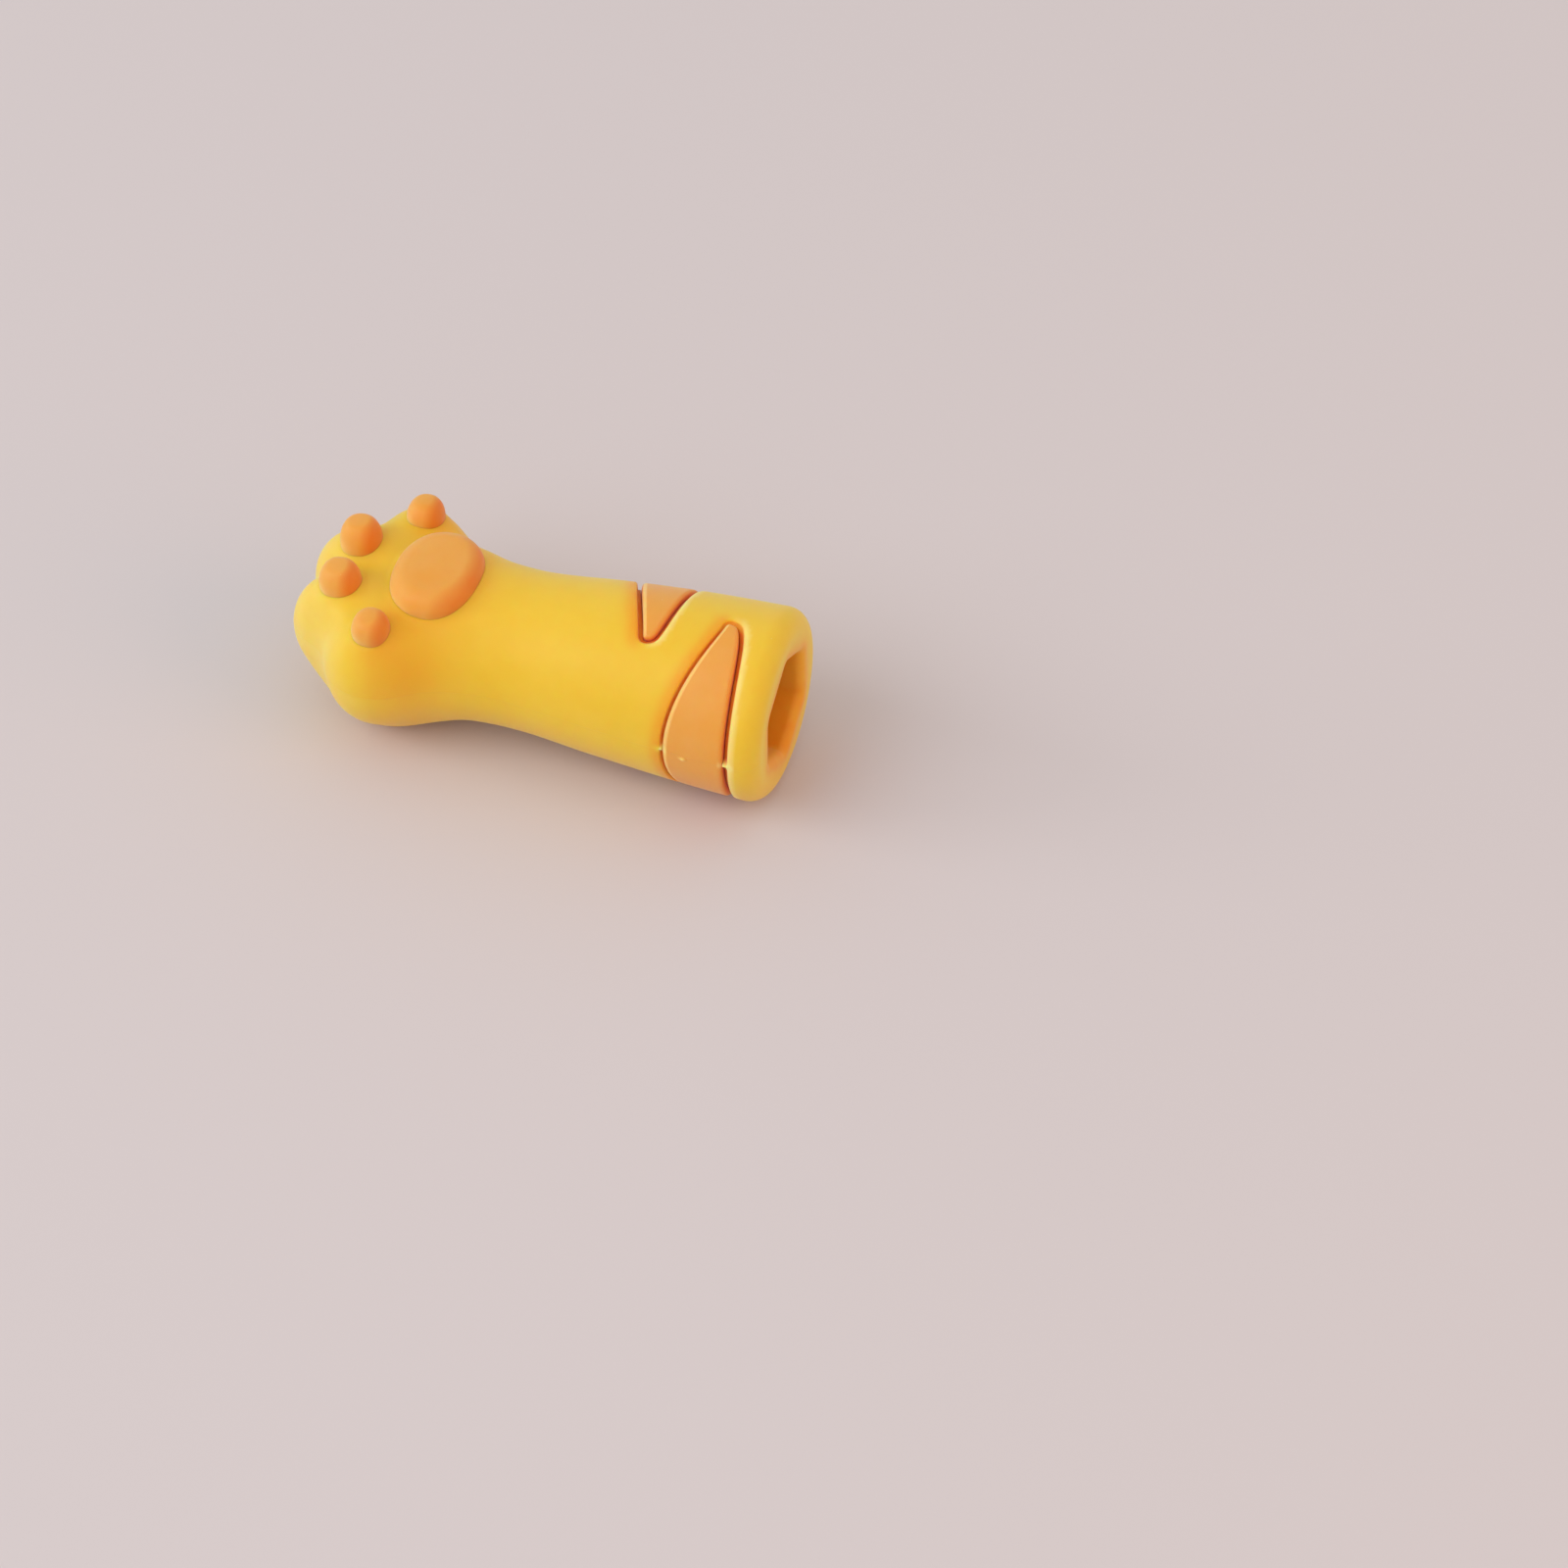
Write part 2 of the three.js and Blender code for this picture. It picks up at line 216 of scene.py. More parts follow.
class Shell:
    # Points and faces of one closed skin. hollow says how deep in a groove each point lies, from 0
    # to 1, which is painted as shade, and blush how much painted shade warms its colour, or how much
    # painted light and pale flash make it paler where it is less than 0.
    def __init__(self):
        self.points, self.hollows, self.blushes, self.faces, self.count = [], [], [], [], 0

    def add(self, points, hollow=0.0, blush=0.0):
        points = np.atleast_2d(points)
        self.points.append(points)
        self.hollows.append(np.broadcast_to(hollow, len(points)))
        self.blushes.append(np.broadcast_to(blush, len(points)))
        self.count += len(points)
        return np.arange(self.count - len(points), self.count)

    def face(self, corners):
        corners = list(dict.fromkeys(int(c) for c in corners))
        if len(corners) > 2:
            self.faces.append(corners)

    def strip(self, first, second, closed=True):
        count = len(first)
        for i in range(count if closed else count - 1):
            j = (i + 1) % count
            self.face((first[i], first[j], second[j], second[i]))

    def strips(self, rings):
        for first, second in zip(rings, rings[1:]):
            self.strip(first, second)

    def fan(self, ring, pole):
        for i, a in enumerate(ring):
            self.face((a, ring[(i + 1) % len(ring)], pole))

    def piece(self, name, nodes, finish):
        points = np.concatenate(self.points)
        mesh = bpy.data.meshes.new(name)
        mesh.from_pydata(placed(points).tolist(), [], self.faces)
        # Painted shade: warmer towards the underside
        underside = np.clip(-points[:, 2] / leg["radii"][0] - blushes["belowFrom"], 0, 1)
        blush = np.concatenate(self.blushes) + blushes["below"] * underside
        setAttribute(mesh, "hollow", np.concatenate(self.hollows))
        setAttribute(mesh, "blush", blush)
        obj = bpy.data.objects.new(name, mesh)
        bpy.context.collection.objects.link(obj)
        return declared(closed(obj), nodes, finish)


def setAttribute(mesh, name, values):
    attribute = mesh.attributes.new(name, "FLOAT", "POINT")
    attribute.data.foreach_set("value", np.asarray(values, np.float32))


def closed(obj):
    shape = bmesh.new()
    shape.from_mesh(obj.data)
    bmesh.ops.remove_doubles(shape, verts=shape.verts, dist=weldDistance)
    bmesh.ops.recalc_face_normals(shape, faces=shape.faces)
    openEdges = sum(len(edge.link_faces) != 2 for edge in shape.edges)
    for face in shape.faces:
        face.smooth = True
    shape.to_mesh(obj.data)
    volume = shape.calc_volume() / mm**3
    print(obj.name, len(shape.faces), "faces,", openEdges, "open edges, volume", volume, "mm3")
    shape.free()
    return obj


def declared(obj, nodes, finish):
    obj.data.materials.clear()
    obj.data.materials.append(finish["material"])
    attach(obj, "root")
    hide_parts(*nodes)
    return obj


class Signal:
    # A node's output that takes Python's operators, each adding a Math node
    def __init__(self, graph, socket):
        self.graph, self.socket = graph, socket

    def maths(self, operation, *values):
        return self.graph.node("ShaderNodeMath", {"operation": operation}, dict(enumerate(values)))

    def __add__(self, other):
        return self.maths("ADD", self, other)

    def __radd__(self, other):
        return self.maths("ADD", other, self)

    def __sub__(self, other):
        return self.maths("SUBTRACT", self, other)

    def __rsub__(self, other):
        return self.maths("SUBTRACT", other, self)

    def __mul__(self, other):
        return self.maths("MULTIPLY", self, other)

    def __rmul__(self, other):
        return self.maths("MULTIPLY", other, self)

    def __truediv__(self, other):
        return self.maths("DIVIDE", self, other)

    def __rtruediv__(self, other):
        return self.maths("DIVIDE", other, self)

    def __pow__(self, other):
        return self.maths("POWER", self, other)

    def __abs__(self):
        return self.maths("ABSOLUTE", self)

    def held(self):
        # Kept between 0 and 1
        return self.graph.node("ShaderNodeClamp", {}, {"Value": self})


class Graph:
    def __init__(self, tree):
        self.tree = tree

    def node(self, kind, settings, sockets, output=0):
        made = self.tree.nodes.new(kind)
        for name, value in settings.items():
            setattr(made, name, value)
        for name, value in sockets.items():
            if isinstance(value, Signal):
                self.tree.links.new(value.socket, made.inputs[name])
            else:
                made.inputs[name].default_value = value
        return Signal(self, made.outputs[output]) if made.outputs else made


def linear(red, green, blue):
    # A colour as seen on screen, 0 to 255, as the linear one that sockets take
    parts = [c / 255 for c in (red, green, blue)]
    return tuple(c / 12.92 if c <= 0.04045 else ((c + 0.055) / 1.055) ** 2.4 for c in parts)


# Silicone: lengths in mm. The mottle is the pigment's, the grain the mould's, and the lint is what
# soft silicone picks up in a hand. A share or a tint says how far a change of colour goes.
yellowSilicone = {
    "slot": "yellow_silicone",
    "colour": (238, 196, 44),
    "paler": (242, 205, 64),
    "grooveShadeColour": (240, 104, 0),
    "shadeColour": (240, 150, 6),
    "lightAndFlashColour": (250, 228, 140),
    "lintColour": (250, 236, 190),
    "mottleSize": 7,
    "mottleShare": 1.6,
    "cloudSize": 1.3,
    "cloudShare": 0.7,
    "palerShare": 0.35,
    "grooveTint": 0.85,
    "grooveUneven": 0.5,
    "grooveUnevenSize": 0.5,
    "blushTint": 0.8,
    "blushUneven": 0.6,
    "grainSize": 0.16,
    "grainDepth": 0.0035,
    "waveSize": 1.1,
    "waveDepth": 0.008,
    "partingWidth": 0.1,
    "partingHeight": 0.012,
    "partingWander": 0.15,
    "partingWanderSize": 2.5,
    "lintSpacing": 1.7,
    "lintSize": 0.05,
    "lintSharpness": 60,
    "lintWobble": 0.05,
    "lintWobbleSize": 0.08,
    "lintRarity": 0.72,
    "raritySharpness": 40,
    "lintTint": 0.4,
    "lintHeight": 0.012,
    "roughness": 0.5,
    "roughnessSwing": 0.12,
    "grainRoughness": 0.08,
    "grooveRoughness": 0.15,
    "refraction": 1.41,
    "shine": 0.38,
    "glow": 0.8,
    "glowReach": 0.5,
    "glowColours": (1.0, 0.42, 0.1),
    "sheen": 0.16,
    "sheenRoughness": 0.5,
}
tanSilicone = {
    **yellowSilicone,
    "slot": "tan_silicone",
    "colour": (235, 162, 58),
    "paler": (237, 174, 84),
    "grooveShadeColour": (232, 80, 0),
    "shadeColour": (230, 118, 0),
    "lightAndFlashColour": (253, 214, 128),
    "lintColour": (250, 222, 180),
    "glowColours": (1.0, 0.36, 0.1),
}


def siliconeMaterial(name, look):
    material = bpy.data.materials.new(name)
    material.use_nodes = True
    material.node_tree.nodes.clear()
    graph = Graph(material.node_tree)
    where = graph.node("ShaderNodeTexCoord", {}, {}, "Object")

    def noise(size, detail, roughness=0.5):
        scale = 1 / (size * mm)
        sockets = {"Vector": where, "Scale": scale, "Detail": detail, "Roughness": roughness}
        return graph.node("ShaderNodeTexNoise", {}, sockets)

    def tinted(factor, under, name):
        # The look's colour of that name, laid over what is under it
        sockets = {0: factor.held(), 6: under, 7: (*linear(*look[name]), 1)}
        return graph.node("ShaderNodeMix", {"data_type": "RGBA"}, sockets, 2)

    mottle = noise(look["mottleSize"], 2)
    cloud = noise(look["cloudSize"], 4)
    patches = (mottle - 0.5) * look["mottleShare"] + (cloud - 0.5) * look["cloudShare"]
    colour = tinted(patches + look["palerShare"], (*linear(*look["colour"]), 1), "paler")

    # Painted shade: deeper in a groove and in the bore the colour turns a dark orange
    hollow = graph.node("ShaderNodeAttribute", {"attribute_name": "hollow"}, {}, "Fac")
    uneven = (noise(look["grooveUnevenSize"], 2) - 0.5) * look["grooveUneven"]
    colour = tinted(hollow * (look["grooveTint"] + uneven), colour, "grooveShadeColour")

    # Painted shade warms the colour where blush is above 0; painted light, and pale flash, make it
    # paler where blush is below 0
    blush = graph.node("ShaderNodeAttribute", {"attribute_name": "blush"}, {}, "Fac")
    change = blush * (look["blushTint"] + (cloud - 0.5) * look["blushUneven"])
    colour = tinted(change, colour, "shadeColour")
    colour = tinted(0 - change, colour, "lightAndFlashColour")

    cells = {"Vector": where, "Scale": 1 / (look["lintSpacing"] * mm), "Randomness": 1.0}
    toLint = graph.node("ShaderNodeTexVoronoi", {"feature": "F1"}, cells, "Distance")
    cellColour = graph.node("ShaderNodeTexVoronoi", {"feature": "F1"}, cells, "Color")
    chance = graph.node("ShaderNodeSeparateColor", {}, {"Color": cellColour}, "Red")
    outline = toLint + (noise(look["lintWobbleSize"], 2) - 0.5) * look["lintWobble"]
    lintSize = look["lintSize"] / look["lintSpacing"]
    speck = ((lintSize - outline) * look["lintSharpness"]).held()
    lint = speck * ((chance - look["lintRarity"]) * look["raritySharpness"]).held()
    colour = tinted(lint * look["lintTint"], colour, "lintColour")

    grain = noise(look["grainSize"], 3, 0.6)
    wave = noise(look["waveSize"], 2)
    rough = look["roughness"] + (cloud - 0.5) * look["roughnessSwing"]
    rough = rough + (grain - 0.5) * look["grainRoughness"] + hollow * look["grooveRoughness"]
    level = graph.node("ShaderNodeSeparateXYZ", {}, {0: where}, "Z") - axisHeight * mm
    wander = (noise(look["partingWanderSize"], 1) - 0.5) * (look["partingWander"] * mm)
    ridge = (1 - abs(level + wander) / (look["partingWidth"] * mm)).held()
    height = grain * (look["grainDepth"] * mm) + wave * (look["waveDepth"] * mm)
    height = height + lint * (look["lintHeight"] * mm) + ridge * (look["partingHeight"] * mm)
    bump = {"Strength": 1.0, "Distance": 1.0, "Height": height}
    normal = graph.node("ShaderNodeBump", {}, bump, "Normal")
    shader = graph.node("ShaderNodeBsdfPrincipled", {"subsurface_method": "RANDOM_WALK"}, {
        "Base Color": colour,
        "Roughness": rough.held(),
        "Normal": normal,
        "IOR": look["refraction"],
        "Specular IOR Level": look["shine"],
        "Subsurface Weight": look["glow"],
        "Subsurface Radius": look["glowColours"],
        "Subsurface Scale": look["glowReach"] * mm,
        "Sheen Weight": look["sheen"],
        "Sheen Roughness": look["sheenRoughness"],
    })
    graph.node("ShaderNodeOutputMaterial", {}, {"Surface": shader})
    return material


yellowSilicone["material"] = siliconeMaterial("yellowSilicone", yellowSilicone)
tanSilicone["material"] = siliconeMaterial("tanSilicone", tanSilicone)
print("silicones mixed")

# Stripes: leaves wrapped round the sleeve. Angles are in degrees from the palm, positive on the far
# side. grooveByToes is the groove's depth on the leaf's toe side, as a share of its depth on the
# mouth side. narrowing is how much narrower it is there, and wallFade how much less painted shade
# its outer wall takes there.
nearStripe = {
    "middle": -90,
    "halfSpan": 91.6,
    "mouthSide": 2.5,
    "tip": 4.2,
    "toeSide": 6.95,
    "mouthBend": 2.7,
    "toeBend": 1.5,
    "grooveByToes": 0.65,
    "grooveAtTips": 0.45,
    "narrowing": 0.42,
    "wallFade": 0.05,
    "isOnPartingLine": True,
}
farStripe = {
    "middle": 90,
    "halfSpan": 111,
    "mouthSide": 8.15,
    "tip": 9.6,
    "toeSide": 12.6,
    "mouthBend": 2,
    "toeBend": 1.22,
    "grooveByToes": 1,
    "grooveAtTips": 0.9,
    "narrowing": 0,
    "wallFade": 0.15,
    "isOnPartingLine": False,
}
# Both stripes and their grooves, in mm. grooveWall gives places down the groove's outer wall, each as
# (distance in from its edge, share of its depth); beyond outerWall from the stripe a place is on it.
# A pip is a crumb of flash, placed as (degrees from the palm, station).
inlay = {
    "tipWidth": 0.5,
    "groove": 0.35,
    "grooveDepth": 0.54,
    "grooveWall": ((0.01, 0.7), (0.04, 0.92), (0.1, 1)),
    "outerWall": 0.2,
    "stripeGap": 0.06,
    "recessEdges": (0.03, -0.1),
    "hollowRamp": 1.6,
    "depthTurn": 0.35,
    "tipReach": 0.9,
    "edgeSteps": 6,
    "floorSteps": 4,
    "bodyEdgeRound": 0.28,
    "stripeEdgeRound": 0.26,
    "stripeWall": (0.35, 0.5),
    "stripeDepth": 0.7,
    "recessDepth": 0.8,
    "unrollRadius": 6.8,
    "windowStart": 1.5,
    "windowEnd": 14,
    "leafSteps": 2000,
    "outlineSteps": 1500,
    "softening": 6,
    "pointSpacing": 0.15,
    "turnPerPoint": math.radians(8),
    "fillSpacing": 0.28,
    "clearShare": 0.72,
    "crossSteps": 30,
    "partingLineReach": 0.7,
    "flashWidth": 0.27,
    "flashHeight": 0.97,
    "pipAt": (-92.5, 5.4),
    "pipSize": (0.16, 0.24),
    "pipHeight": 0.13,
}


def unrolled(degrees):
    return np.radians(degrees) * inlay["unrollRadius"]


def evenly(line, count):
    along = np.concatenate([[0], np.cumsum(np.linalg.norm(np.diff(line, axis=0), axis=1))])
    at = np.linspace(0, along[-1], count + 1)
    return np.stack([np.interp(at, along, column) for column in line.T], 1)


def softened(loop, spread):
    reach = np.arange(-3 * spread, 3 * spread + 1)
    weights = np.exp(-((reach / spread) ** 2) / 2)
    return sum(w * np.roll(loop, k, 0) for w, k in zip(weights / weights.sum(), reach))


def sharedOut(density, count):
    # Places along a run, as fractions of its steps, with an equal share of its density between them
    total = np.concatenate([[0], np.cumsum(density)])
    return np.interp(np.linspace(0, total[-1], count + 1), total, np.arange(len(density) + 1))


def sampled(loop, at):
    low = np.floor(at).astype(int)
    share = (at - low)[:, None]
    return loop[low % len(loop)] * (1 - share) + loop[(low + 1) % len(loop)] * share


def leafOutline(stripe):
    # The leaf's outline on the unrolled sleeve, as (distance round, station), and its outward
    # normals. It runs along the mouth side from tip to tip and back along the toe side: point i is
    # opposite point -i.
    share = np.sin(np.linspace(-0.5, 0.5, inlay["leafSteps"] + 1) * math.pi)
    reach = np.abs(share)
    tipHalf = inlay["tipWidth"] / 2
    stretch = tipHalf / (math.radians(stripe["halfSpan"]) * leg["radii"][0])
    rounding = np.sqrt(1 - np.clip(1 - (1 - reach) / stretch, 0, 1) ** 2)
    toMouth, toToes = stripe["tip"] - stripe["mouthSide"], stripe["toeSide"] - stripe["tip"]
    mouthward = toMouth + (tipHalf - toMouth) * (1 - np.sqrt(1 - reach ** stripe["mouthBend"]))
    toeward = toToes + (tipHalf - toToes) * (1 - (1 - reach**2) ** stripe["toeBend"])
    around = unrolled(stripe["middle"] + share * stripe["halfSpan"])
    half = inlay["outlineSteps"]
    mouthEdge = evenly(np.stack([around, stripe["tip"] - mouthward * rounding], 1), half)
    toeEdge = evenly(np.stack([around, stripe["tip"] + toeward * rounding], 1), half)
    loop = softened(np.concatenate([mouthEdge[:-1], toeEdge[:0:-1]]), inlay["softening"])
    ahead = np.roll(loop, -1, 0)
    tangent = ahead - np.roll(loop, 1, 0)
    tangent /= np.linalg.norm(tangent, axis=1)[:, None]
    normal = np.stack([tangent[:, 1], -tangent[:, 0]], 1)
    turned = np.roll(tangent, -1, 0)
    turning = np.abs(tangent[:, 0] * turned[:, 1] - tangent[:, 1] * turned[:, 0])
    fromMiddle = (loop[:, 0] - unrolled(stripe["middle"])) / inlay["partingLineReach"]
    density = np.linalg.norm(ahead - loop, axis=1) / inlay["pointSpacing"]
    density = density * (1 + np.exp(-(fromMiddle**2))) + turning / inlay["turnPerPoint"]
    count = 2 * math.ceil(max(density[:half].sum(), density[half:].sum()) / 2)
    mouthAt, toeAt = (sharedOut(side, count)[:-1] for side in (density[:half], density[half:]))
    at = np.concatenate([mouthAt, half + toeAt])
    points, normals = sampled(loop, at), sampled(normal, at)
    for i in (count // 2, count + count // 2):
        points[i, 0], normals[i, 0] = unrolled(stripe["middle"]), 0
    return points, normals / np.linalg.norm(normals, axis=1)[:, None]


def rolled(flat, depth=0.0):
    return onSkin(flat[:, 1], flat[:, 0] / inlay["unrollRadius"], depth)


def flashShare(stripe, flat):
    # 1 where flash on the mould's parting line bridges the groove, 0 away from it
    if not stripe["isOnPartingLine"]:
        return np.zeros(len(flat))
    fromMiddle = flat[:, 0] - unrolled(stripe["middle"])
    fromMiddle -= unrolled(360) * np.round(fromMiddle / unrolled(360))
    return np.exp(-((fromMiddle / inlay["flashWidth"]) ** 2))


def grooveShare(stripe, flat):
    # How deep the groove is round the leaf, as a share of its full depth
    byToes = 1 / (1 + np.exp(-(flat[:, 1] - stripe["tip"]) / inlay["depthTurn"]))
    share = 1 + (stripe["grooveByToes"] - 1) * byToes
    toTip = unrolled(stripe["halfSpan"]) - np.abs(flat[:, 0] - unrolled(stripe["middle"]))
    atTip = np.exp(-((np.maximum(toTip, 0) / inlay["tipReach"]) ** 2))
    share += (stripe["grooveAtTips"] - share) * atTip
    return share * (1 - inlay["flashHeight"] * flashShare(stripe, flat))


def edgeHighlightAndShade(facing, depth, warmth):
    # Painted highlight pales edges that face the toes, and painted shade keeps those that face the
    # open end warm
    toeward = facing[:, 1] * np.where(facing[:, 1] > 0, 1, warmth)
    return -blushes["grooveEdge"] * toeward * np.exp(-((depth / blushes["grooveEdgeDepth"]) ** 2))


def acrossLeaf(shell, ring, flat, steps, depthAt, hollow, blushAt=lambda spots: 0.0):
    # Fills a leaf's ring with rows of points from each point to the one opposite
    half = len(ring) // 2
    shares = np.linspace(0, 1, steps + 1)[1:-1, None]
    lines = flat[1:half, None, :] + shares * (flat[:half:-1] - flat[1:half])[:, None, :]
    spots = lines.reshape(-1, 2)
    inner = shell.add(rolled(spots, depthAt(spots)), hollow, blushAt(spots)).reshape(half - 1, -1)
    rows = [[ring[i], *inner[i - 1], ring[-i]] for i in range(1, half)]
    rows = [[ring[0]] * (steps + 1), *rows, [ring[half]] * (steps + 1)]
    for first, second in zip(rows, rows[1:]):
        shell.strip(first, second, closed=False)


def cutGroove(shell, stripe, outline):
    # The groove in the body: rounded edge, wall, floor, and the recess that holds the stripe.
    # Returns the groove's outermost line, for the surface round it.
    points, normals = outline
    groove, deepest = inlay["groove"], inlay["grooveDepth"]
    edge = quarterRound(inlay["bodyEdgeRound"], inlay["edgeSteps"])
    profile = [(groove + inset, depth) for depth, inset in edge]
    profile += [(groove - inward, deepest * share) for inward, share in inlay["grooveWall"]]
    profile.append((inlay["stripeGap"], deepest))
    rings = []
    onToeSide = np.clip(normals[:, 1], 0, 1)
    growth = normals * (1 - stripe["narrowing"] * onToeSide)[:, None]
    for grow, depth in profile:
        flat = points + growth * grow
        depths = depth * grooveShare(stripe, flat)
        # The groove's depth is painted as shade, less on the toe side's outer wall; its rounded edge
        # gets painted highlight where it faces the toes and painted shade where it faces the open end
        fade = stripe["wallFade"] * onToeSide * (grow > inlay["outerWall"])
        hollow = np.minimum(depths / deepest * inlay["hollowRamp"], 1) * (1 - fade)
        blush = edgeHighlightAndShade(-normals, depth, 1) - blushes["flash"] * flashShare(stripe, flat)
        rings.append(shell.add(rolled(flat, depths), hollow, blush))
    # The recess under the stripe takes full painted shade
    for grow in inlay["recessEdges"]:
        flat = points + normals * grow
        rings.append(shell.add(rolled(flat, inlay["recessDepth"]), 1.0))
    shell.strips(rings)
    acrossLeaf(shell, rings[-1], flat, inlay["floorSteps"], lambda spots: inlay["recessDepth"], 1.0)
    return points + growth * profile[0][0], normals


def treeOf(spots):
    tree = kdtree.KDTree(len(spots))
    for i, (x, y) in enumerate(spots):
        tree.insert((x, y, 0), i)
    tree.balance()
    return tree


def inside(spots, loop):
    # Even-odd rule
    x, y = spots[:, :1], spots[:, 1:]
    x0, y0 = loop.T
    x1, y1 = np.roll(loop, -1, 0).T
    with np.errstate(divide="ignore", invalid="ignore"):
        crossing = ((y0 > y) != (y1 > y)) & (x < (x1 - x0) * (y - y0) / (y1 - y0) + x0)
    return crossing.sum(1) % 2 == 1


def grooveShadeHighlightAndFlash(flat, tree, outward):
    # Painted shade, warm, beside a groove's toe side, the painted highlight that goes on from its
    # rounded edge beside its open-end side, and pale flash
    glow = []
    for (x, y), flash in zip(flat, flashShare(nearStripe, flat)):
        index, distance = tree.find((x, y, 0))[1:]
        way = outward[index]
        reach = blushes["grooveReach"] if way > 0 else blushes["grooveEdgeReach"]
        edge = blushes["grooveEdge"] * way * math.exp(-((distance / reach) ** 2))
        flash *= math.exp(-((distance / blushes["flashReach"]) ** 2))
        glow.append(edge - blushes["flash"] * flash)
    return glow


def fillWindow(shell, columns, near, far):
    # The sleeve's surface round both grooves, cut open along the near stripe's middle and unrolled.
    # near and far are each groove's outer line and its outward normals.
    (nearLine, nearOut), (farLine, farOut) = near, far
    full = unrolled(360)
    left = unrolled(nearStripe["middle"])
    right = left + full
    start, end, spacing = inlay["windowStart"], inlay["windowEnd"], inlay["fillSpacing"]
    along = left + full * np.arange(columns + 1) / columns
    quarter = len(nearLine) // 4
    mouthCrossing, toeCrossing = nearLine[quarter, 1], nearLine[3 * quarter, 1]

    def level(around, station):
        return np.stack([around, np.full(len(around), station)], 1)

    def upright(around, low, high):
        stations = np.linspace(low, high, round((high - low) / spacing) + 1)[1:-1]
        return level(stations, around)[:, ::-1]

    nearFirst = nearLine[quarter : 3 * quarter + 1]
    nearSecond = np.concatenate([nearLine[3 * quarter :], nearLine[: quarter + 1]]) + (full, 0)
    border = np.concatenate([
        level(along, start),
        upright(right, start, mouthCrossing),
        nearSecond[::-1],
        upright(right, toeCrossing, end),
        level(along, end)[::-1],
        upright(left, toeCrossing, end)[::-1],
        nearFirst[::-1],
        upright(left, start, mouthCrossing)[::-1],
    ])
    lines = np.concatenate([border, farLine])
    edges = [(i, (i + 1) % len(border)) for i in range(len(border))]
    edges += [(len(border) + i, len(border) + (i + 1) % len(farLine)) for i in range(len(farLine))]

    grooves = np.concatenate([nearLine, nearLine + (full, 0), farLine])
    outward = np.concatenate([nearOut, nearOut, farOut])[:, 1]
    tree = treeOf(grooves)
    rows = np.arange(start, end, spacing * math.sqrt(0.75))
    starts = [left + spacing * (i % 2) / 2 for i in range(len(rows))]
    grid = [level(np.arange(first, right, spacing), row) for first, row in zip(starts, rows)]
    grid = np.concatenate(grid)
    grid = grid[inside(grid, border) & ~inside(grid, farLine)]
    lineTree = treeOf(lines)
    clear = [lineTree.find((x, y, 0))[2] > inlay["clearShare"] * spacing for x, y in grid]
    flat = np.concatenate([lines, grid[clear]])
    found = delaunay_2d_cdt([Vector(p) for p in flat.tolist()], edges, [], 0, 1e-7)
    flat = np.array([tuple(v) for v in found[0]])
    faces = np.array(found[2])
    middles = flat[faces].mean(1)
    faces = faces[inside(middles, border) & ~inside(middles, farLine)]
    # Painted shade and painted highlight beside the grooves, and pale flash
    index = shell.add(rolled(flat), 0.0, grooveShadeHighlightAndFlash(flat, tree, outward))
    shell.faces += index[faces].tolist()


def socketRadius(angles, swell):
    # The rounded hexagon's reach from the axis. Its corners are 60 degrees apart, the first towards
    # the palm.
    turn = np.abs((angles + math.pi / 6) % (math.pi / 3) - math.pi / 6)
    centre = (socket["acrossFlats"] / 2 - socket["cornerRound"]) / math.cos(math.pi / 6)
    radius = socket["cornerRound"] + swell
    arcEnd = math.atan2(radius / 2, centre + radius * math.cos(math.pi / 6))
    arc = centre * np.cos(turn) + np.sqrt(np.maximum(radius**2 - (centre * np.sin(turn)) ** 2, 0))
    flat = (socket["acrossFlats"] / 2 + swell) / np.cos(math.pi / 6 - turn)
    return np.where(turn < arcEnd, arc, flat)


def padOutlines():
    for pad, sides in ((palmPad, (1,)), (outerPad, (-1, 1)), (innerPad, (-1, 1))):
        for side in sides:
            yield pad["at"][0], side * pad["at"][1], pad["size"]


def besidePads(skin):
    # For each pad: how far outside its outline each point of the skin lies, and how much that is
    # mouthward. The back of the paw counts as farther off.
    for station, across, (length, width) in padOutlines():
        mouthward, sideways = station - skin[:, 0], skin[:, 1] - across
        reach = np.hypot(mouthward / length, sideways / width) * 2
        farther = np.where(skin[:, 2] > 0, 0, padForm["backFarther"])
        distance = (reach - 1) * min(length, width) / 2 + farther
        yield distance, mouthward / np.maximum(np.hypot(mouthward, sideways), 0.01)


def padLip(skin):
    # The skin stands up a little round each pad, where it was poured against it
    lips = [np.exp(-((distance / padForm["lipWidth"]) ** 2)) for distance, _ in besidePads(skin)]
    return padForm["lipHeight"] * np.max(lips, axis=0)


def pawShadeAndLight(skin):
    # Painted shade, warm, between and behind the pads and in the hollow behind each outer toe, and
    # painted light, pale, at the front
    station, across, height = skin.T
    warm = np.zeros(len(skin))
    for distance, mouthward in besidePads(skin):
        nearness = np.exp(-np.maximum(distance, 0) / blushes["padReach"])
        warm += nearness * (blushes["pad"] + blushes["padMouthward"] * mouthward)
    at, size = blushes["hollowAt"], blushes["hollowSize"]
    offset = (station - at[0], np.abs(across) - at[1], height - at[2])
    warm += blushes["hollow"] * np.exp(-sum((o / s) ** 2 for o, s in zip(offset, size)))
    start, end = blushes["paleStations"]
    front = np.clip((station - start) / (end - start), 0, 1)
    return np.minimum(warm, blushes["warmest"]) - blushes["pale"] * front


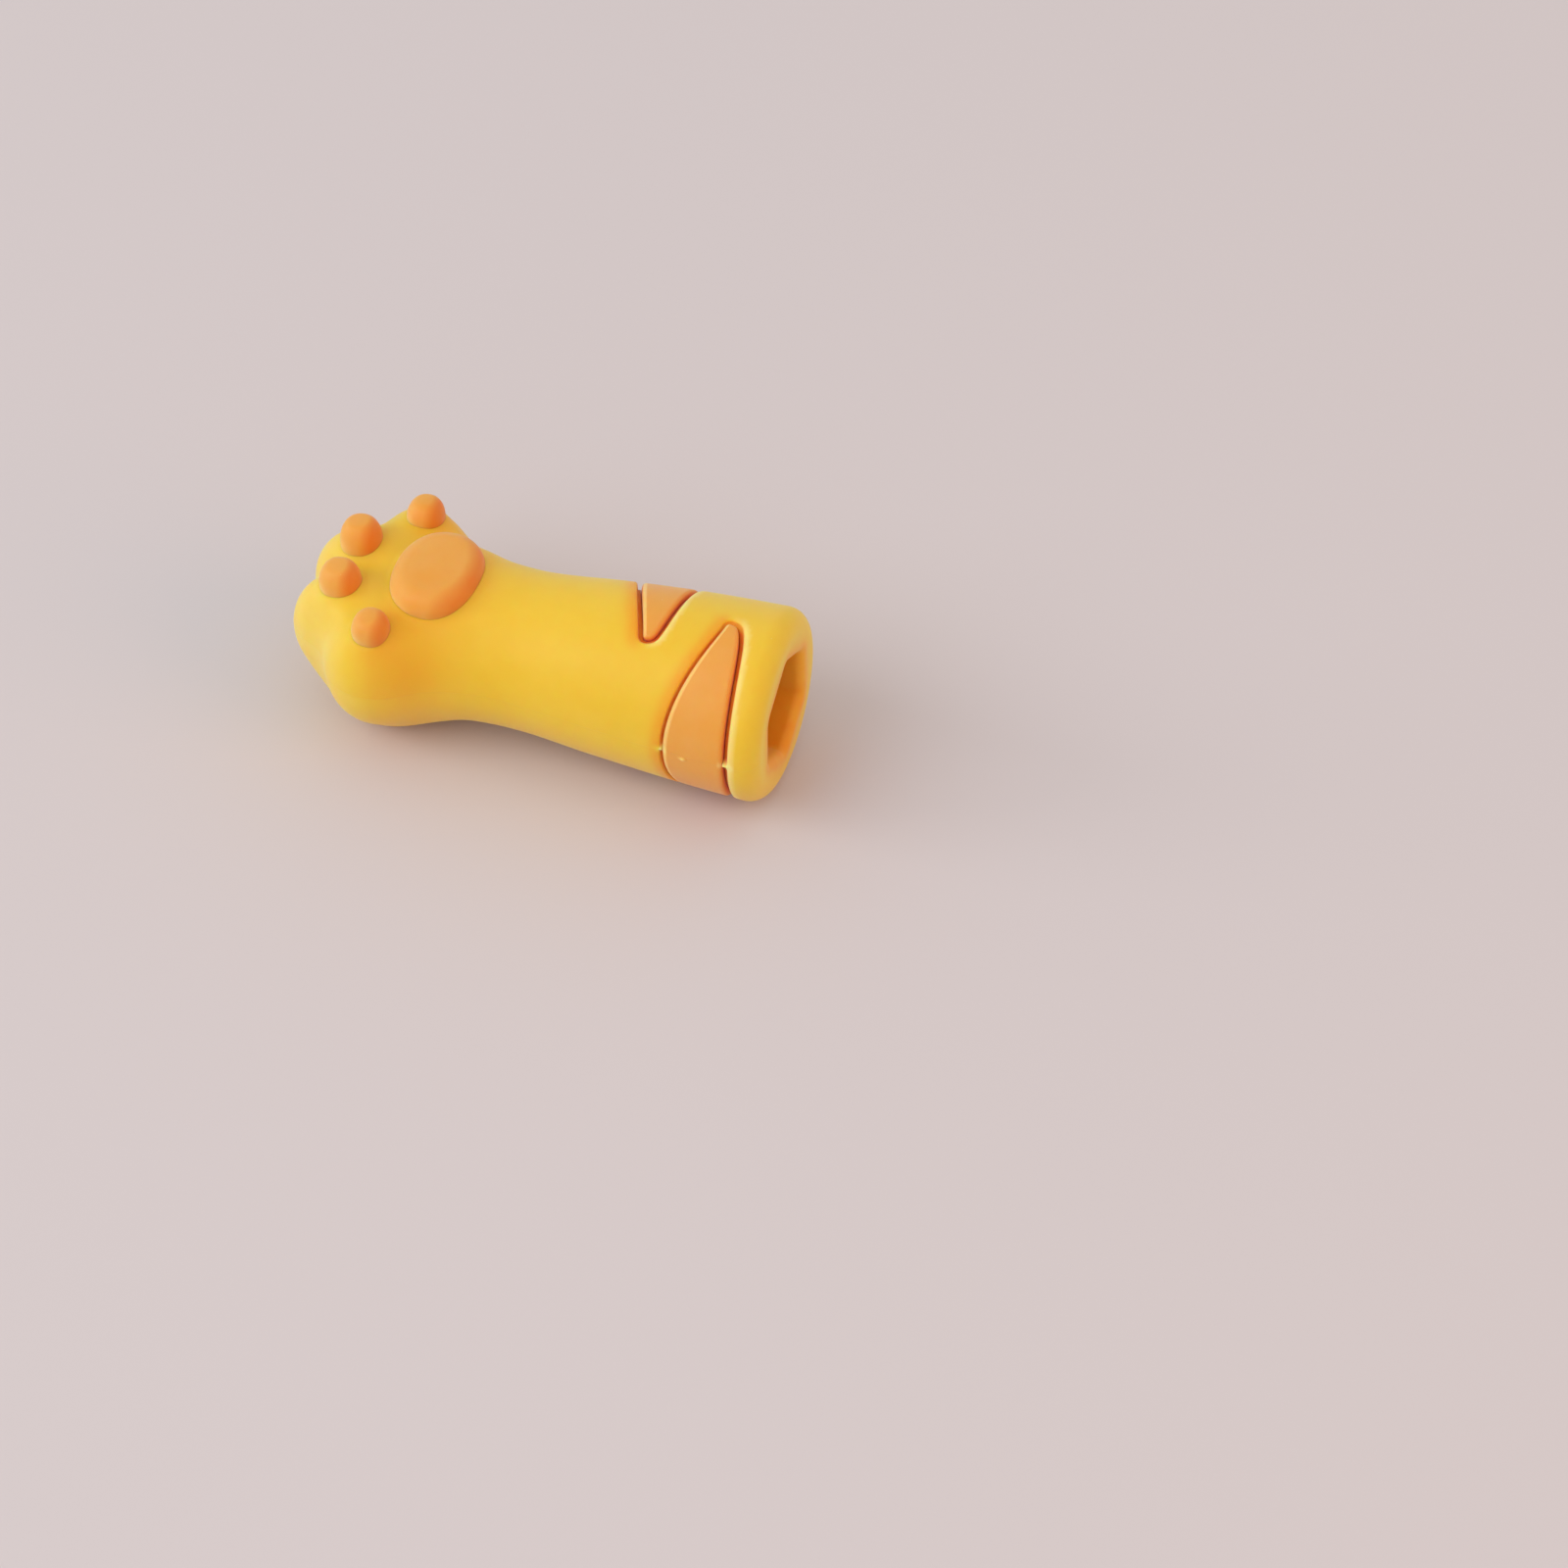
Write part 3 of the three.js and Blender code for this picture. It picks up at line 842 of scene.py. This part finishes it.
def buildLeg():
    shell, columns = Shell(), leg["columns"]
    angles = math.radians(nearStripe["middle"]) + np.arange(columns) / columns * 2 * math.pi

    def hexagon(station, swell):
        return axisPoints(station, columns) + spokes(angles) * socketRadius(angles, swell)[:, None]

    def socketRing(station, swell):
        # Painted shade, deepening into the bore and warm at its lip
        hollow = socket["hollow"] * np.clip(station / socket["hollowFrom"], 0, 1)
        return shell.add(hexagon(station, swell), hollow, blushes["lip"])

    # Painted shade and painted light over the paw's skin
    def pawRing(skin, ways):
        return shell.add(skin + ways * padLip(skin)[:, None], 0.0, pawShadeAndLight(skin))

    # From the socket's floor out to the lip
    floorRound, lipRound = socket["floorRound"], socket["lipRound"]
    floorEdge = quarterRound(floorRound, socket["floorSteps"])
    walls = np.linspace(socketDepth - floorRound, lipRound, socket["wallRings"] + 1)[1:]
    lipEdge = quarterRound(lipRound, socket["lipSteps"])[-2::-1]
    rings = [socketRing(socketDepth, swell) for swell in socket["floorSwells"]]
    rings += [socketRing(socketDepth - depth, -inset) for depth, inset in floorEdge]
    rings += [socketRing(station, 0) for station in walls]
    rings += [socketRing(depth, inset) for depth, inset in lipEdge]
    shell.fan(rings[0], shell.add((socketDepth, 0, 0), socket["hollow"])[0])

    # Across the open end's flat ring and over its rim
    rim = onSkin(0.0, angles, leg["rimRound"])
    lip = hexagon(0.0, lipRound)
    # Painted shade at the bore's lip, fading out across the face towards the rim
    for share in np.linspace(0, 1, leg["faceRings"] + 1)[1:-1]:
        rings.append(shell.add(lip + (rim - lip) * share, 0.0, blushes["lip"] * (1 - share) ** 2))
    for depth, inset in quarterRound(leg["rimRound"], leg["rimSteps"]):
        rings.append(shell.add(onSkin(depth, angles, inset)))
    shell.strips(rings)

    # The sleeve with the stripes' grooves
    near = cutGroove(shell, nearStripe, leafOutline(nearStripe))
    far = cutGroove(shell, farStripe, leafOutline(farStripe))
    fillWindow(shell, columns, near, far)

    # On to the palm, and then over the toes in rings that lean further and further
    crown = np.array([leg["palm"]["at"][0], 0, 0])
    toeward = np.array([1.0, 0, 0])
    rings = []
    for station in np.linspace(inlay["windowEnd"], crown[0], leg["palmRings"]):
        rings.append(pawRing(onSkin(station, angles), spokes(angles)))
    for lean in np.linspace(0, math.pi / 2, leg["toeRings"] + 1)[1:-1]:
        ways = spokes(angles) * math.cos(lean) + toeward * math.sin(lean)
        rings.append(pawRing(crown + ways * skinReach(crown, ways)[:, None], ways))
    shell.strips(rings)
    tip = crown + toeward * skinReach(crown[None], toeward[None])[:, None]
    shell.fan(rings[-1], shell.add(tip, 0.0, pawShadeAndLight(tip))[0])
    return shell.piece("pawBody", ["paw_body"], yellowSilicone)


def buildStripe(name, node, stripe):
    shell = Shell()
    points, normals = leafOutline(stripe)
    edge = quarterRound(inlay["stripeEdgeRound"], inlay["edgeSteps"])
    profile = [(-inset, depth) for depth, inset in edge]
    profile += [(0, depth) for depth in (*inlay["stripeWall"], inlay["stripeDepth"])]
    rings = []
    for grow, depth in profile:
        # Painted shade deepening down the stripe's walls, and on its edges painted highlight facing
        # the toes and painted shade facing the open end
        hollow = np.clip(depth / inlay["grooveDepth"], 0, 1)
        flat = points + normals * grow
        flash = blushes["flash"] * flashShare(stripe, flat)
        blush = edgeHighlightAndShade(normals, depth, blushes["stripeEdgeShade"]) - flash
        rings.append(shell.add(rolled(flat, depth), hollow, blush))
    shell.strips(rings)

    def pip(spots):
        # A crumb of flash left on the parting line
        off = (spots - (unrolled(inlay["pipAt"][0]), inlay["pipAt"][1])) / inlay["pipSize"]
        return stripe["isOnPartingLine"] * np.exp(-((off**2).sum(1) ** 2))

    def pipDepth(spots):
        return -inlay["pipHeight"] * pip(spots)

    def pipBlush(spots):
        return -blushes["flash"] * pip(spots)

    top = points + normals * profile[0][0]
    acrossLeaf(shell, rings[0], top, inlay["crossSteps"], pipDepth, 0.0, pipBlush)
    footSteps, footDepth = inlay["floorSteps"], inlay["stripeDepth"]
    acrossLeaf(shell, rings[-1], points, footSteps, lambda spots: footDepth, 1.0)
    return shell.piece(name, [node], tanSilicone)


# Pads: rounded buttons on the palm and toes, in mm and degrees. Lean turns a pad about the axis's
# direction, pitch towards the toes; seat is how far its foot goes into the skin.
palmPad = {
    "at": (25.75, 0),
    "size": (6.4, 7.9),
    "height": 1.4,
    "crown": 0.1,
    "rim": 1.4,
    "seat": 0.6,
    "lean": 0,
    "pitch": 6,
}
outerPad = {
    "at": (28.65, 5.95),
    "size": (2.65, 2.85),
    "height": 1.4,
    "crown": 0.02,
    "rim": 0.95,
    "seat": 0.8,
    "lean": 8.5,
    "pitch": 5,
}
innerPad = {
    "at": (32.15, 2.25),
    "size": (2.95, 3),
    "height": 1.65,
    "crown": 0.02,
    "rim": 0.95,
    "seat": 0.8,
    "lean": 5,
    "pitch": 8,
}
# rowEnds says where a pad's rows pass from its foot to its side, its rim and its top.
padForm = {
    "squareness": 2.2,
    "sides": 96,
    "rings": 60,
    "rowEnds": (0, 0.1, 0.25, 0.65, 1),
    "backFarther": 9,
    "lipWidth": 0.3,
    "lipHeight": 0.15,
}

buildLeg()
print("leg and paw built")
buildStripe("nearStripeInlay", "near_stripe", nearStripe)
buildStripe("farStripeInlay", "far_stripe", farStripe)
print("stripes built")


def padTree():
    # A grid bent round into a button: its rows run from the middle of the foot, up the side, over
    # the rounded rim and in across the crowned top, and its columns go round the oval
    tree = bpy.data.node_groups.new("padForm", "GeometryNodeTree")
    graph = Graph(tree)
    tree.interface.new_socket("Geometry", in_out="OUTPUT", socket_type="NodeSocketGeometry")
    for name in ("Length", "Width", "Height", "Rim", "Seat", "Crown", "Squareness"):
        tree.interface.new_socket(name, in_out="INPUT", socket_type="NodeSocketFloat")
    for name in ("Sides", "Rings"):
        tree.interface.new_socket(name, in_out="INPUT", socket_type="NodeSocketInt")
    for name in ("Place", "Turn"):
        tree.interface.new_socket(name, in_out="INPUT", socket_type="NodeSocketVector")
    tree.interface.new_socket("Finish", in_out="INPUT", socket_type="NodeSocketMaterial")
    inputs = tree.nodes.new("NodeGroupInput")
    given = {output.name: Signal(graph, output) for output in inputs.outputs if output.name}

    grid = graph.node("GeometryNodeMeshGrid", {}, {
        "Size X": 1.0, "Size Y": 1.0, "Vertices X": given["Sides"], "Vertices Y": given["Rings"],
    })
    position = graph.node("GeometryNodeInputPosition", {}, {})
    around = graph.node("ShaderNodeSeparateXYZ", {}, {0: position}, "X") * math.tau
    row = graph.node("ShaderNodeSeparateXYZ", {}, {0: position}, "Y") + 0.5
    ends = padForm["rowEnds"]
    foot, side, over, top = (((row - a) / (b - a)).held() for a, b in zip(ends, ends[1:]))
    rim = over * (math.pi / 2)
    rimSine, rimCosine = rim.maths("SINE", rim), rim.maths("COSINE", rim)
    across, along = around.maths("SINE", around), around.maths("COSINE", around)
    power = given["Squareness"]
    roundness = (abs(along) ** power + abs(across) ** power) ** (-1 / power)
    inset = given["Rim"] * (1 - rimCosine)
    reach = roundness * foot * (1 - top)
    crown = given["Crown"] * (1 - (1 - top) * (1 - top))
    height = given["Height"] * rimSine - given["Seat"] * (1 - side) + crown
    bent = graph.node("ShaderNodeCombineXYZ", {}, {
        "X": (given["Length"] * 0.5 - inset) * along * reach,
        "Y": (given["Width"] * 0.5 - inset) * across * reach,
        "Z": height,
    })
    moved = graph.node("GeometryNodeSetPosition", {}, {"Geometry": grid, "Position": bent})
    turn = graph.node("FunctionNodeEulerToRotation", {}, {0: given["Turn"]})
    placing = {"Geometry": moved, "Translation": given["Place"], "Rotation": turn}
    stood = graph.node("GeometryNodeTransform", {}, placing)
    welding = {"Geometry": stood, "Distance": weldDistance}
    welded = graph.node("GeometryNodeMergeByDistance", {}, welding)
    real = graph.node("GeometryNodeRealizeInstances", {}, {"Geometry": welded})
    coating = {"Geometry": real, "Material": given["Finish"]}
    finished = graph.node("GeometryNodeSetMaterial", {}, coating)
    tree.links.new(finished.socket, tree.nodes.new("NodeGroupOutput").inputs[0])
    return tree


def buildPad(name, node, tree, pad, side):
    station, across = pad["at"][0], side * pad["at"][1]
    skin = skinReach([[station, across, 0.0]], [[0.0, 0.0, 1.0]])[0]
    lean = Matrix.Rotation(math.radians(-side * pad["lean"]), 3, "X")
    pitch = Matrix.Rotation(math.radians(-pad["pitch"]), 3, "Y")
    values = {
        "Length": pad["size"][0] * mm,
        "Width": pad["size"][1] * mm,
        "Height": pad["height"] * mm,
        "Rim": pad["rim"] * mm,
        "Seat": pad["seat"] * mm,
        "Crown": pad["crown"] * mm,
        "Squareness": padForm["squareness"],
        "Sides": padForm["sides"] + 1,
        "Rings": padForm["rings"] + 1,
        "Place": placed([(station, across, skin)])[0],
        "Turn": (lean @ pitch).to_euler(),
        "Finish": tanSilicone["material"],
    }
    maker = bpy.data.objects.new(name + "Maker", bpy.data.meshes.new(name + "Maker"))
    bpy.context.collection.objects.link(maker)
    modifier = maker.modifiers.new("padForm", "NODES")
    modifier.node_group = tree
    for item in tree.interface.items_tree:
        if item.in_out == "INPUT":
            modifier[item.identifier] = values[item.name]
    bpy.context.view_layer.update()
    evaluated = maker.evaluated_get(bpy.context.evaluated_depsgraph_get())
    mesh = bpy.data.meshes.new_from_object(evaluated)
    bpy.data.objects.remove(maker)
    mesh.name = name
    obj = bpy.data.objects.new(name, mesh)
    bpy.context.collection.objects.link(obj)
    closed(obj)
    mouthward = np.array([vertex.normal.x for vertex in mesh.vertices])
    spots = np.array([vertex.co for vertex in mesh.vertices]) - values["Place"]
    height = np.maximum(spots @ np.array(lean @ pitch)[:, 2] / mm, 0)
    # Painted shade, warm, on the side of the pad that faces the open end, and painted light, pale, on
    # its toe side and round its foot away from the open end
    start, ramp = blushes["padSideFrom"], blushes["padSideRamp"]
    warm = blushes["padMouthSideShade"] * np.clip((mouthward - start) / ramp, 0, 1)
    pale = blushes["padToeSideLight"] * np.clip(-mouthward - start, 0, 1)
    foot = np.exp(-((height / blushes["footHeight"]) ** 2))
    foot = foot * np.clip(blushes["footFrom"] - mouthward, 0, 1)
    setAttribute(mesh, "blush", warm - pale - blushes["foot"] * foot)
    setAttribute(mesh, "hollow", np.zeros(len(mouthward)))
    return declared(obj, [node], tanSilicone)


padMaker = padTree()
buildPad("palmPadButton", "palm_pad", padMaker, palmPad, 1)
for side, nearness in ((-1, "near"), (1, "far")):
    buildPad(nearness + "OuterToeButton", nearness + "_outer_toe_pad", padMaker, outerPad, side)
    buildPad(nearness + "InnerToeButton", nearness + "_inner_toe_pad", padMaker, innerPad, side)
print("pads built")

# Studio: a pale floor, an even surround, a broad soft lamp and a small one from the toes' side, and
# a faint warm one from the open end's side
studio = {
    "floorColour": (215, 205, 205),
    "floorSize": 3,
    "driftScale": 9.0,
    "driftSwing": 0.015,
    "surround": 0.67,
    "surroundColour": (0.98, 1.0, 1.01),
    "key": {"at": (-0.45, -0.56, 0.66), "size": 0.8, "power": 2.75, "colour": (0.96, 1.0, 1.05)},
    "side": {"at": (-0.75, -0.25, 0.32), "size": 0.4, "power": 1.4, "colour": (0.98, 1.0, 1.03)},
    "fill": {"at": (0.6, -0.1, 0.35), "size": 0.5, "power": 1.0, "colour": (1.0, 0.5, 0.2)},
    "azimuth": 18.5,
    "elevation": 45,
    "distance": 2,
    "frameWidth": 0.1092,
    "belowMouth": 0.005338,
    "insideMouth": 0.2,
    "sensorWidth": 36,
}


def buildFloor():
    half = studio["floorSize"] / 2
    mesh = bpy.data.meshes.new("floor")
    corners = [(-half, -half, 0), (half, -half, 0), (half, half, 0), (-half, half, 0)]
    mesh.from_pydata(corners, [], [(0, 1, 2, 3)])
    floor = bpy.data.objects.new("floor", mesh)
    bpy.context.collection.objects.link(floor)
    material = bpy.data.materials.new("paleFloor")
    material.use_nodes = True
    material.node_tree.nodes.clear()
    graph = Graph(material.node_tree)
    where = graph.node("ShaderNodeTexCoord", {}, {}, "Object")
    scale, swing = studio["driftScale"], studio["driftSwing"]
    drift = graph.node("ShaderNodeTexNoise", {}, {"Vector": where, "Scale": scale, "Detail": 1.0})
    colour = linear(*studio["floorColour"])
    darker, lighter = ((*[c * share for c in colour], 1) for share in (1 - swing, 1 + swing))
    mixed = graph.node("ShaderNodeMix", {"data_type": "RGBA"}, {0: drift, 6: darker, 7: lighter}, 2)
    shader = graph.node("ShaderNodeBsdfPrincipled", {}, {
        "Base Color": mixed, "Roughness": 0.9, "Specular IOR Level": 0.1,
    })
    graph.node("ShaderNodeOutputMaterial", {}, {"Surface": shader})
    mesh.materials.append(material)


def lightStudio():
    world = bpy.data.worlds.new("surround")
    bpy.context.scene.world = world
    world.use_nodes = True
    world.node_tree.nodes.clear()
    graph = Graph(world.node_tree)
    isCamera = graph.node("ShaderNodeLightPath", {}, {}, "Is Camera Ray")
    ambient = graph.node("ShaderNodeBackground", {}, {
        "Color": (*studio["surroundColour"], 1), "Strength": studio["surround"],
    })
    floorColour = (*linear(*studio["floorColour"]), 1)
    backdrop = graph.node("ShaderNodeBackground", {}, {"Color": floorColour, "Strength": 1.0})
    mixed = graph.node("ShaderNodeMixShader", {}, {0: isCamera, 1: ambient, 2: backdrop})
    graph.node("ShaderNodeOutputWorld", {}, {"Surface": mixed})

    for name in ("key", "side", "fill"):
        look = studio[name]
        light = bpy.data.lights.new(name + "Lamp", "AREA")
        light.shape, light.size = "DISK", look["size"]
        light.energy, light.color = look["power"], look["colour"]
        lamp = bpy.data.objects.new(name + "Lamp", light)
        lamp.location = look["at"]
        lamp.rotation_euler = (-lamp.location).to_track_quat("-Z", "Y").to_euler()
        bpy.context.collection.objects.link(lamp)


def placeCamera():
    # A long lens from far off: the photograph's lines run parallel
    azimuth, elevation = math.radians(studio["azimuth"]), math.radians(studio["elevation"])
    level = math.cos(elevation)
    back = Vector((math.sin(azimuth) * level, -math.cos(azimuth) * level, math.sin(elevation)))
    right = Vector((math.cos(azimuth), math.sin(azimuth), 0))
    up = back.cross(right)
    aim = Vector((openEnd - studio["insideMouth"], 0, axisHeight)) * mm
    target = aim - up * studio["belowMouth"]
    data = bpy.data.cameras.new("camera")
    data.sensor_width = studio["sensorWidth"]
    data.lens = data.sensor_width * studio["distance"] / studio["frameWidth"]
    data.clip_start, data.clip_end = 0.1, 10
    camera = bpy.data.objects.new("camera", data)
    camera.location = target + back * studio["distance"]
    camera.rotation_euler = (-back).to_track_quat("-Z", "Y").to_euler()
    bpy.context.collection.objects.link(camera)
    bpy.context.scene.camera = camera


buildFloor()
lightStudio()
placeCamera()
bpy.context.scene.view_settings.view_transform = "Standard"
print("studio set")
